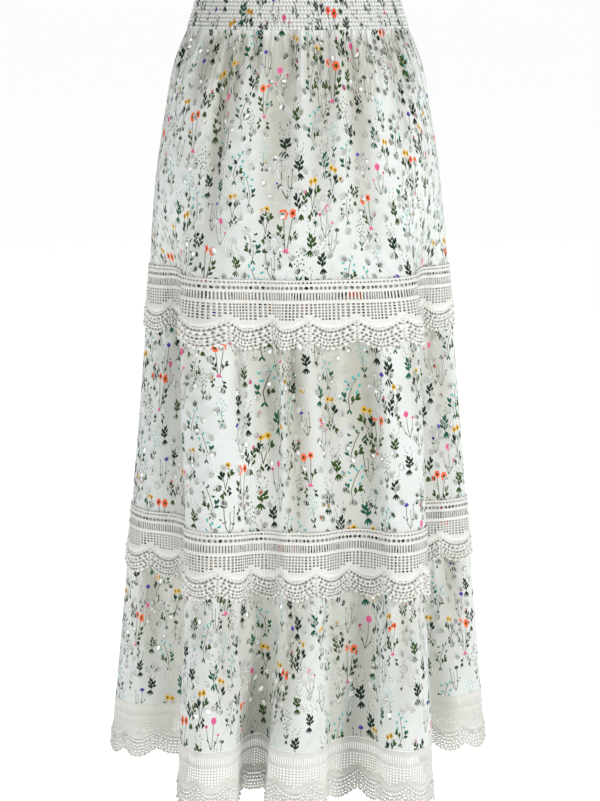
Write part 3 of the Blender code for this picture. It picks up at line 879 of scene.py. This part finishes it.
pieces = {}
for tier_name, tier_top, tier_foot, cuts, eyelet_top, repeats, foot_margin in TIERS:
    tall = tier_top - tier_foot
    for half, side in enumerate(("front", "back")):
        cut = cuts[half]
        marks = sprig_marks(cut, tall)
        eyelets = eyelet_places(cut, tall, tier_top - eyelet_top, repeats[half], foot_margin)
        flat, raised, triangles, mark = panel_net(cut, tall, eyelets, marks)
        across = SEAM_GAP / 2 + flat[:, 0] * (1 - SEAM_GAP / cut)
        around, height = (half + across / cut) / 2, tier_top - flat[:, 1]
        points = drape(around, height, raised)
        # Painted shade: how dark the cloth is painted in its creases and in the hollows of its folds
        creased = np.clip(cloth_depth(around, height)[1] / VALLEY_SHADE_DEPTH, 0, 1) ** VALLEY_SHADE_SPREAD
        creased = np.maximum(creased, HOLLOW_SHADE_SHARE * hollow_at(around, height))
        # Painted shade under the lace bands, a little above and below each seam
        under = np.zeros(len(flat))
        for seam in (UPPER_SEAM, LOWER_SEAM):
            under[(height < seam + LACE_SHADE_ABOVE) & (height > seam - LACE_SHADE_BELOW)] = 1.0
        name = f"{tier_name}_{side}_cloth"
        cotton = cotton_material(f"eyelet_cotton_{tier_name}_{side}", cut / repeats[half])
        values = {"stitch": (raised > 0).astype(float), "creased": creased, "under": under}
        piece = cloth_mesh(name, points, triangles[:, ::-1], cotton, flat, **values)
        paint_marks(piece, flat, triangles[:, ::-1], mark, marks)
        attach(piece, "root")
        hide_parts(f"{tier_name}_{side}")
        pieces[tier_name, side] = piece

# Lace: three bands of cream cotton guipure, a cord lace stitched solid with no ground cloth.
# Each has a row of loops, a ladder, a square net, stitched crescents and rows of bobbles
# down to its scallops. The upper two lie over the tiers' seams, and the last ends the hem.
# Columns: band, the tier it is sewn to, the real lengths and depth of its front and back
# before it was sewn on a little gathered, height of its top and foot, scallops round it
LACES = (
    ("upper_lace", "upper_tier", (0.66, 0.54), 0.086, -0.319, UPPER_LACE_FOOT, 24),
    ("lower_lace", "middle_tier", (0.80, 0.66), 0.086, -0.619, LOWER_LACE_FOOT, 32),
    ("hem_lace", "lower_tier", (1.16, 0.82), 0.079, HEM_SEAM - SEAM_GAP, HEM, 48),
)
# Columns: how far it stands off the cloth's middle, how much of the pattern's top is left
# out, how open its ladder and its net are, half the width and height of the gaps between
# bobbles, the shade round those
SEAM_LACE = (0.0019, 0.0, 0.52, 0.60, 0.85, 0.80, 0.9)
HEM_LACE = (0.0, 7.3, 0.17, 0.36, 1.30, 0.80, 0.30)
# Sizes of the pattern in mm, from the lace's top down
UNIT = 44.0
LACE_TALL = 84.0
SCALLOP_DROP = 11.0
SIDE_STEP = 4.0
SIDE_FOOT = 72.0
LOOP_ROWS = ((3.2, 12, 1.3), (9.2, 9, 2.1))
LADDER_TOP = 14.6
LADDER_FOOT = 23.4
LADDER_BARS = 15
NET_TOP = 27.0
NET_FOOT = 47.5
NET_ROWS = 6
NET_COLUMNS = 11
CRESCENT_MIDDLE = 54.4
CRESCENT_THICK = 6.6
CRESCENT_CUSP = 1.2
CRESCENT_STEPS = 12
CRESCENT_EDGE = 0.25
CRESCENT_RAISE = 1.2
NET_RIM = 1.0
# Two stitched ridges. Columns: how far down, and how far they stand out
RIDGES = ((13.0, 0.5), (25.2, 0.6))
# Rows of bobbles. Columns: how far above the scalloped foot, how many in a scallop, radius,
# and how far they stand out
BOBBLES = (
    (25.0, 13, 1.45, 1.3), (20.2, 8, 2.55, 2.4), (15.4, 12, 1.50, 1.4),
    (11.2, 9, 2.05, 1.9), (7.2, 12, 1.40, 1.3), (2.6, 8, 2.50, 2.4),
)
BOBBLE_SIDES = 6
# One bobble of the foot's outline. Columns: share of its width, and how far up it lies
FOOT_BOBBLE = ((0.0, 3.0), (0.22, 0.7), (0.5, 0.0), (0.78, 0.7))
BOBBLE_TOP = 57.5
BOBBLE_FOOT = 80.5
GAPS_ABOVE = 4
GAP_BELOW = 2.35
LACE_NEAR = 1e-5
WELD_KEYS = 200
SIDE_GAP = 0.0006
LACE_HOLLOW_SHADE = 0.16
CORD_PITCH = 0.0016
LACE_CREAM = (0.80, 0.795, 0.755, 1)
LACE_SHADE = (0.66, 0.655, 0.61, 1)
LACE_PAINTED_SHADE = (0.17, 0.165, 0.145, 1)


def scallop_lift(x):
    """How far the scallops rise above their lowest point, x mm along the unit."""
    return SCALLOP_DROP * (1 - abs(math.sin(math.pi * x / UNIT)))


def crescent_row(side):
    """The crescent's top edge when side is -1 and its foot edge when side is 1."""
    row = []
    for step in range(CRESCENT_STEPS + 1):
        x = CRESCENT_CUSP + (UNIT - 2 * CRESCENT_CUSP) * step / CRESCENT_STEPS
        swell = math.sin(math.pi * step / CRESCENT_STEPS) ** 0.8 * CRESCENT_THICK / 2
        row.append((x, CRESCENT_MIDDLE - scallop_lift(x) + side * swell))
    return row


def lace_unit(left_out, ladder_open, net_open, gap_wide, gap_tall):
    """One scallop's pattern, in mm: points, how far they are raised, triangles."""
    steps = 2 * BOBBLES[-1][1]
    foot = []
    for k in range(steps // 2):
        for share, lifted in FOOT_BOBBLE:
            x = UNIT * (k + share) * 2 / steps
            foot.append((x, LACE_TALL - scallop_lift(x) - lifted))
    foot.append((UNIT, foot[0][1]))
    top = [(UNIT * k / steps, left_out) for k in range(steps, -1, -1)]
    sides = [y for y in np.arange(SIDE_STEP, SIDE_FOOT, SIDE_STEP) if y > left_out + 1]
    net = FlatNet(foot + [(UNIT, y) for y in sides[::-1]] + top + [(0.0, y) for y in sides])
    for y, count, radius in LOOP_ROWS:
        if y > left_out + radius:
            for k in range(count):
                net.add(round_outline(UNIT * (k + 0.5) / count, y, radius, radius, 6), 0.0, True)

    def add_window(x, y, wide, tall):
        corners = [(x - wide, y - tall), (x + wide, y - tall), (x + wide, y + tall), (x - wide, y + tall)]
        net.add(corners, 0.0, True)

    pitch = UNIT / LADDER_BARS
    middle, tall = (LADDER_TOP + LADDER_FOOT) / 2, (LADDER_FOOT - LADDER_TOP) / 2
    for k in range(LADDER_BARS):
        add_window(pitch * (k + 0.5), middle, pitch * ladder_open / 2, tall)
    pitch = UNIT / NET_COLUMNS
    high = (NET_FOOT - NET_TOP) / NET_ROWS
    wide, tall = pitch * net_open / 2, high * net_open / 2
    for row in range(NET_ROWS + 3):
        for k in range(NET_COLUMNS):
            x, y = pitch * (k + 0.5), NET_TOP + high * (row + 0.5)
            rim = CRESCENT_MIDDLE - scallop_lift(x) - CRESCENT_THICK * 0.5 - NET_RIM
            if y + tall <= rim:
                add_window(x, y, wide, tall)
    top_row, foot_row = crescent_row(-1), crescent_row(1)
    net.add(top_row + foot_row[-2:0:-1], CRESCENT_EDGE)
    for above, count, radius, lift in BOBBLES:
        for k in range(count):
            x = UNIT * (k + 0.5) / count
            y = LACE_TALL - above - scallop_lift(x)
            for share, height in ((1.0, 0.15), (0.74, lift * 0.8)):
                size = radius * share
                net.add(round_outline(x, y, size, size, BOBBLE_SIDES, math.pi / BOBBLE_SIDES), height)
            net.add_point((x, y), lift)
            if above > GAPS_ABOVE:
                x += UNIT / count / 2
                y = LACE_TALL - above + GAP_BELOW - scallop_lift(x)
                net.add(round_outline(x, y, gap_wide, gap_tall, 6), 0.0, True)
    for upper, under in list(zip(top_row, foot_row))[1:-1]:
        net.add_point(((upper[0] + under[0]) / 2, (upper[1] + under[1]) / 2), CRESCENT_RAISE)
    for y, lift in RIDGES:
        if y > left_out:
            for k in range(steps):
                net.add_point((UNIT * (k + 0.5) / steps, y), lift)
    return net.triangulated(LACE_NEAR)[:3]


def guipure_material(name, painted_shade):
    """Cream cotton thread, stitched close: fine ridges, a soft sheen, shade between the cords."""
    lace = Nodes(name)
    flat = lace.attribute("flat")["Vector"]
    lift = lace.attribute("lift")["Fac"]
    # Painted shade on the low ground, with a random tone mixed in; the raised cords and bobbles stay
    # cream
    tint = lace.mix(lace.noise(flat, 30.0, 4.0), LACE_SHADE, LACE_CREAM)
    tint = lace.mix(lace.math("MULTIPLY", lift, 900.0, clamp=True), tint, LACE_CREAM)
    # An even painted shade over the whole band, for the hem's lace
    tint = lace.mix(painted_shade, tint, LACE_PAINTED_SHADE)
    # Painted shade between the bobbles and in the hollows of the folds
    tint = lace.mix(lace.attribute("gap")["Fac"], tint, LACE_PAINTED_SHADE)
    lace.look("Base Color", tint)
    lace.look("Roughness", 0.7)
    lace.look("Sheen Weight", 0.15)
    cords = lace.bump(lace.wave(lace.xyz(flat)["Y"], CORD_PITCH), 0.00015, 0.7)
    lace.look("Normal", lace.bump(lace.noise(flat, 1400.0, 2.0), 0.0003, 0.6, Normal=cords))
    return lace.material


# The hem's lace has no cloth behind it, so it looks a little darker than the other two: an even painted
# shade over the whole band
HEM_PAINTED_SHADE = 0.13
seam_guipure = guipure_material("cream_guipure", 0.0)
shaded_hem_guipure = guipure_material("cream_guipure_hem_shaded", HEM_PAINTED_SHADE)
for lace_name, *_, lace_top, lace_foot, scallops in LACES:
    at_hem = lace_foot == HEM
    stand_off, left_out, *opened, shade = HEM_LACE if at_hem else SEAM_LACE
    unit_flat, unit_lift, unit_triangles = lace_unit(left_out, *opened)
    for half, side in enumerate(("front", "back")):
        count = scallops // 2
        flat = np.concatenate([unit_flat + (UNIT * k, 0) for k in range(count)])
        lift = np.tile(unit_lift, count) / 1000
        triangles = np.concatenate([unit_triangles + len(unit_flat) * k for k in range(count)])
        keys = np.round(flat * WELD_KEYS).astype(int)
        _, first, merged = np.unique(keys, axis=0, return_index=True, return_inverse=True)
        flat, lift, triangles = flat[first], lift[first], merged.ravel()[triangles]
        down = (flat[:, 1] - left_out) / (LACE_TALL - left_out)
        height = lace_top + down * (lace_foot - lace_top)
        along = SIDE_GAP + flat[:, 0] / (UNIT * count) * (1 - 2 * SIDE_GAP)
        points = drape((half + along) / 2, height, stand_off + lift)
        rise = np.array([scallop_lift(x) for x in flat[:, 0]])
        low = flat[:, 1] + rise
        inside = np.abs((flat[:, 0] + UNIT / 2) % UNIT - UNIT / 2) > 0.1
        # Painted shade round the gaps between the bobbles, and in the hollows of the folds
        gap = shade * ((low > BOBBLE_TOP) & inside & (lift == 0) & (low < BOBBLE_FOOT))
        gap = np.clip(gap + LACE_HOLLOW_SHADE * hollow_at((half + along) / 2, height), 0, 1)
        name = f"{lace_name}_{side}_guipure"
        guipure = shaded_hem_guipure if at_hem else seam_guipure
        piece = cloth_mesh(name, points, triangles[:, ::-1], guipure, flat / 1000, lift=lift, gap=gap)
        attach(piece, "root")
        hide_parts(f"{lace_name}_{side}")
        pieces[lace_name, side] = piece

# Waistband: the same printed cotton, shirred on thirteen rows of elastic thread, so that it
# puffs out in a ridge between rows and draws up into fine upright puckers.
BAND_SIDE_GAP = 0.06
BAND_FLARE = 1.5
ELASTIC_ROWS = 13
ROW_STEPS = 4
BAND_COLUMNS = 430
BAND_PUCKERS = 96
RIDGE = 0.0012
PUCKER = 0.00075
PUCKER_BEND = 0.9
PUCKER_UNEVEN = 0.25
ROW_STAGGER = 2.2
BAND_OUT = 0.0004
BAND_CLOTH = 1.10
BAND_COTTON = (0.78, 0.80, 0.77, 1)
BAND_VALLEY_SHADE = (0.30, 0.305, 0.285, 1)


def band_point(bearing, height, outward):
    """Points of the waistband's oval, at bearings in degrees and heights."""
    flare = ((WAIST_TOP - height) / (WAIST_TOP - WAIST_SEAM)) ** BAND_FLARE
    angle = np.radians(bearing)
    sizes = [top + (foot - top) * flare for top, foot in zip(SECTIONS[0][1:], SECTIONS[1][1:])]
    half_width, front, behind = [size + outward for size in sizes]
    half_depth = np.where(np.cos(angle) > 0, front, behind)
    return np.column_stack([half_width * np.sin(angle), -half_depth * np.cos(angle), height])


def inside_outline(points, outline):
    """Which points lie inside an outline."""
    x, y = points.T
    found = np.zeros(len(points), bool)
    for (x0, y0), (x1, y1) in zip(outline, np.roll(outline, -1, axis=0)):
        crosses = (y0 > y) != (y1 > y)
        if y0 != y1:
            found ^= crosses & (x < x0 + (y - y0) * (x1 - x0) / (y1 - y0))
    return found


shirred = Nodes("shirred_cotton_print")
# Painted shade in the hollows of the puckers and between the puffed rows
tint = shirred.mix(shirred.attribute("valley")["Fac"], BAND_COTTON, BAND_VALLEY_SHADE)
printed = shirred.attribute("print")
shirred.look("Base Color", shirred.mix(printed["Alpha"], tint, printed["Color"]))
shirred.look("Roughness", 0.85)
threads = shirred.noise(shirred.attribute("flat")["Vector"], 900.0, 3.0)
shirred.look("Normal", shirred.bump(threads, 0.0003, 0.6))

band_tall = WAIST_TOP - WAIST_SEAM
for half, side in enumerate(("front", "back")):
    across, down = BAND_COLUMNS + 1, ELASTIC_ROWS * ROW_STEPS + 1
    along, fall = np.meshgrid(np.linspace(0, 1, across), np.linspace(0, 1, down))
    along, fall = along.ravel(), fall.ravel()
    row_turn = np.sin(math.pi * fall * ELASTIC_ROWS) ** 2
    bend = PUCKER_BEND * np.sin(2 * math.pi * fall * 2.3 + 9 * np.sin(21 * along))
    stagger = ROW_STAGGER * (np.floor(np.minimum(fall, 0.999) * ELASTIC_ROWS) % 2)
    wave = np.sin(2 * math.pi * along * BAND_PUCKERS + bend + stagger)
    uneven = np.sin(40 * along + 3 * np.floor(fall * ELASTIC_ROWS))
    uneven = 1 - PUCKER_UNEVEN + PUCKER_UNEVEN * uneven
    puffed = RIDGE * row_turn + PUCKER * wave * uneven * (0.45 + 0.55 * row_turn)
    edge = np.clip(np.minimum(along, 1 - along) * BAND_PUCKERS * 2, 0, 1)
    outward = BAND_OUT + puffed * edge
    bearing = 180 * half - 90 + BAND_SIDE_GAP + along * (180 - 2 * BAND_SIDE_GAP)
    points = band_point(bearing, WAIST_TOP - fall * band_tall, outward)
    corner = np.arange(across * down).reshape(down, across)
    a, b = corner[:-1, :-1].ravel(), corner[:-1, 1:].ravel()
    c, d = corner[1:, 1:].ravel(), corner[1:, :-1].ravel()
    triangles = np.concatenate([np.column_stack([a, d, c]), np.column_stack([a, c, b])])
    flat = np.column_stack([along * BAND_CLOTH / 2, fall * band_tall])
    # Painted shade: darkest in the puckers' hollows and between the puffed rows
    valley = np.clip(0.5 - 0.5 * wave, 0, 1) * (0.35 + 0.65 * (1 - row_turn)) + 0.2 * (1 - row_turn)
    name = f"waistband_{side}_cloth"
    piece = cloth_mesh(name, points, triangles, shirred.material, flat, valley=valley)
    colours = np.zeros((len(points), 4), np.float32)
    for outline, _, _, paints in sprig_marks(BAND_CLOTH / 2, band_tall):
        outline = np.array(outline)
        low, high = outline.min(axis=0), outline.max(axis=0)
        near = np.flatnonzero(((flat >= low) & (flat <= high)).all(axis=1))
        hit = near[inside_outline(flat[near], outline)]
        colours[hit] = [*paints[0], 1.0]
    made = piece.data.color_attributes.new("print", "FLOAT_COLOR", "POINT")
    made.data.foreach_set("color", colours.ravel())
    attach(piece, "root")
    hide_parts(f"waistband_{side}")
    pieces["waistband", side] = piece

# Each piece of cloth is looked up, and each lace band with the tier it is sewn to.
for half, side in enumerate(("front", "back")):
    for tier_name, tier_top, tier_foot, cuts, *_ in TIERS:
        piece = pieces[tier_name, side]
    for lace_name, carrier, cuts, deep, *_ in LACES:
        piece, under = pieces[lace_name, side], pieces[carrier, side]
